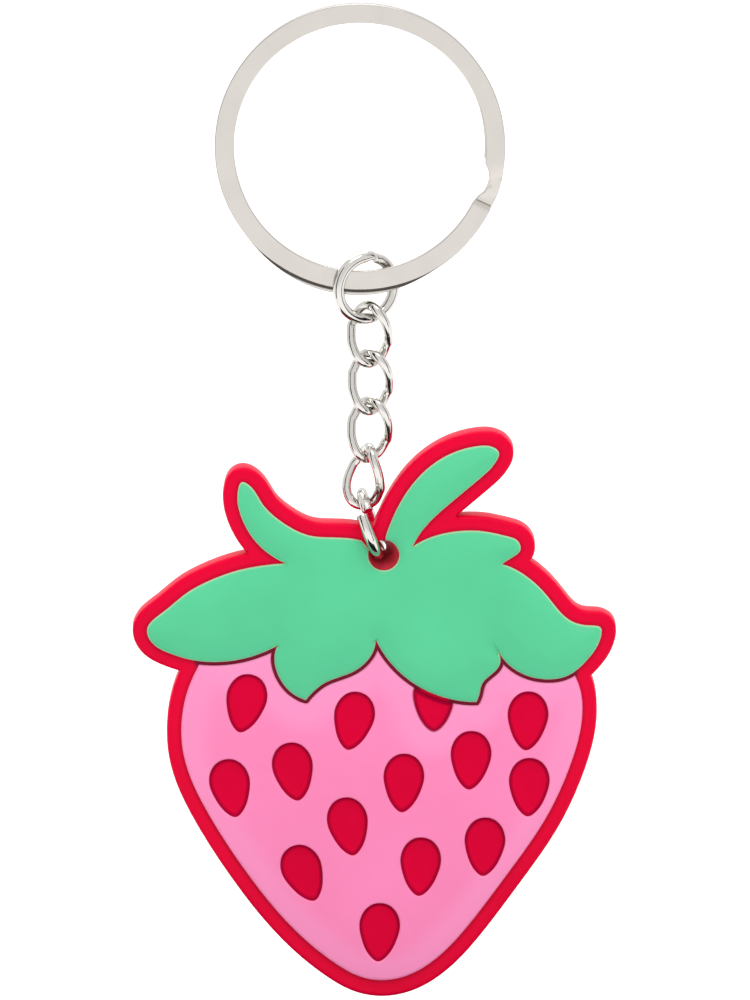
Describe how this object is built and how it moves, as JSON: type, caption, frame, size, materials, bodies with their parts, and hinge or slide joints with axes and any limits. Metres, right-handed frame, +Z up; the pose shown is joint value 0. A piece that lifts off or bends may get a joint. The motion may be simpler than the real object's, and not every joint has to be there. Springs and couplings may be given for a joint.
{
  "type": "keychain",
  "caption": "Flat soft-moulded strawberry charm hung by a short curb chain and jump rings from a flat split key ring; every link swings.",
  "frame": {"origin": "centre of the split ring, midway through its thickness", "axes": "+Z up along the chain towards the split ring's top, with the part hanging; the charm's decorated face looks to -Y; +X to the viewer's right"},
  "size_m": [0.0501, 0.0078, 0.1044],
  "materials": {
    "bright_plated_strip": "polished",
    "bright_plated_wire": "polished",
    "red_soft_pvc": "satin",
    "green_soft_pvc": "satin",
    "pink_soft_pvc": "satin",
    "seed_red_soft_pvc": "satin"
  },
  "bodies": {
    "split_ring": {"split_ring": "bright_plated_strip"},
    "upper_jump_ring": {"upper_jump_ring": "bright_plated_wire"},
    "chain_link_1": {"chain_link_1": "bright_plated_wire"},
    "chain_link_2": {"chain_link_2": "bright_plated_wire"},
    "chain_link_3": {"chain_link_3": "bright_plated_wire"},
    "chain_link_4": {"chain_link_4": "bright_plated_wire"},
    "lower_jump_ring": {"lower_jump_ring": "bright_plated_wire"},
    "charm": {"charm_base": "red_soft_pvc", "calyx_inlay": "green_soft_pvc", "flesh_inlay": "pink_soft_pvc", "seed_01": "seed_red_soft_pvc", "seed_02": "seed_red_soft_pvc", "seed_03": "seed_red_soft_pvc", "seed_04": "seed_red_soft_pvc", "seed_05": "seed_red_soft_pvc", "seed_06": "seed_red_soft_pvc", "seed_07": "seed_red_soft_pvc", "seed_08": "seed_red_soft_pvc", "seed_09": "seed_red_soft_pvc", "seed_10": "seed_red_soft_pvc", "seed_11": "seed_red_soft_pvc", "seed_12": "seed_red_soft_pvc", "seed_13": "seed_red_soft_pvc", "seed_14": "seed_red_soft_pvc"}
  },
  "joints": [
    {"name": "ring_slide", "type": "hinge", "parent": "split_ring", "child": "upper_jump_ring", "pos_m": [0, 0, 0], "axis": [0, -1, 0], "range_deg": [-90, 90]},
    {"name": "link_1_swing", "type": "hinge", "parent": "upper_jump_ring", "child": "chain_link_1", "pos_m": [0.00092, 0, -0.01671], "axis": [-0.6822, 0.731, -0.0179], "range_deg": [-55, 12]},
    {"name": "link_2_swing", "type": "hinge", "parent": "chain_link_1", "child": "chain_link_2", "pos_m": [0.00108, 0, -0.02283], "axis": [0.7987, 0.6014, 0.0209], "range_deg": [-33, 33]},
    {"name": "link_3_swing", "type": "hinge", "parent": "chain_link_2", "child": "chain_link_3", "pos_m": [0.00112, 0.00006, -0.02674], "axis": [-0.7454, 0.6665, -0.0155], "range_deg": [-46, 48]},
    {"name": "link_4_swing", "type": "hinge", "parent": "chain_link_3", "child": "chain_link_4", "pos_m": [0.00092, 0.00006, -0.03286], "axis": [0.7454, 0.6665, 0.0155], "range_deg": [-31, 36]},
    {"name": "jump_ring_sway", "type": "hinge", "parent": "chain_link_4", "child": "lower_jump_ring", "pos_m": [0.00021, 0.00002, -0.03653], "axis": [0.0309, -0.9994, 0.0165], "range_deg": [-60, 18]},
    {"name": "charm_swing", "type": "hinge", "parent": "lower_jump_ring", "child": "charm", "pos_m": [0.00105, 0, -0.0397], "axis": [0.9455, 0, 0.3256], "range_deg": [-22, 32]}
  ]
}
